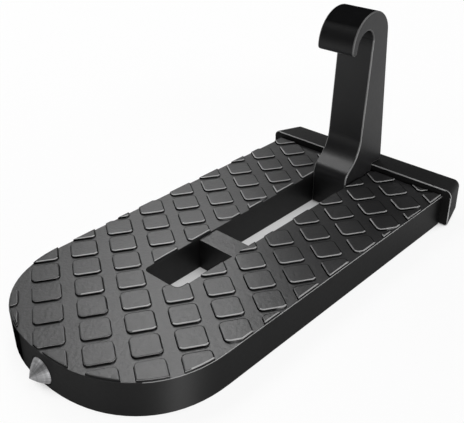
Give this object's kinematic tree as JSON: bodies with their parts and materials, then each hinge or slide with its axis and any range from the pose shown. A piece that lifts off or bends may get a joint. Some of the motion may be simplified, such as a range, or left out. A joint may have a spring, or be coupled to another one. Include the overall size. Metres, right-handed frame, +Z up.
{
  "type": "car door latch step",
  "caption": "Folding step for a car's doorway: a flat pedal with grip pads, a fold-down hook that hangs on the door latch striker, a rubber end pad and a pointed hammer tip.",
  "frame": {"origin": "middle of the bounding box in plan, at the height of the underside", "axes": "+Z up from the underside, +Y towards the end pad and the car, -Y towards the pointed nose, +X to the right seen from the nose"},
  "size_m": [0.0798, 0.1574, 0.072],
  "materials": {
    "casting": "satin black coating",
    "hook": "satin black coating",
    "rubber": "matt",
    "fixings": "zinc plated",
    "tip": "turned and polished"
  },
  "bodies": {
    "pedal": {"pedal_body": "casting", "hinge_pin": "fixings", "pin_clip": "fixings", "end_pad": "rubber", "pad_screw_left": "fixings", "pad_screw_right": "fixings", "pad_washer_left": "fixings", "pad_washer_right": "fixings", "hammer_tip": "tip"},
    "hook": {"hook": "hook"}
  },
  "joints": [
    {"name": "hook_fold", "type": "hinge", "parent": "pedal", "child": "hook", "pos_m": [0, 0.0559, 0.0062], "axis": [1, 0, 0], "range_deg": [0, 78.6]}
  ]
}
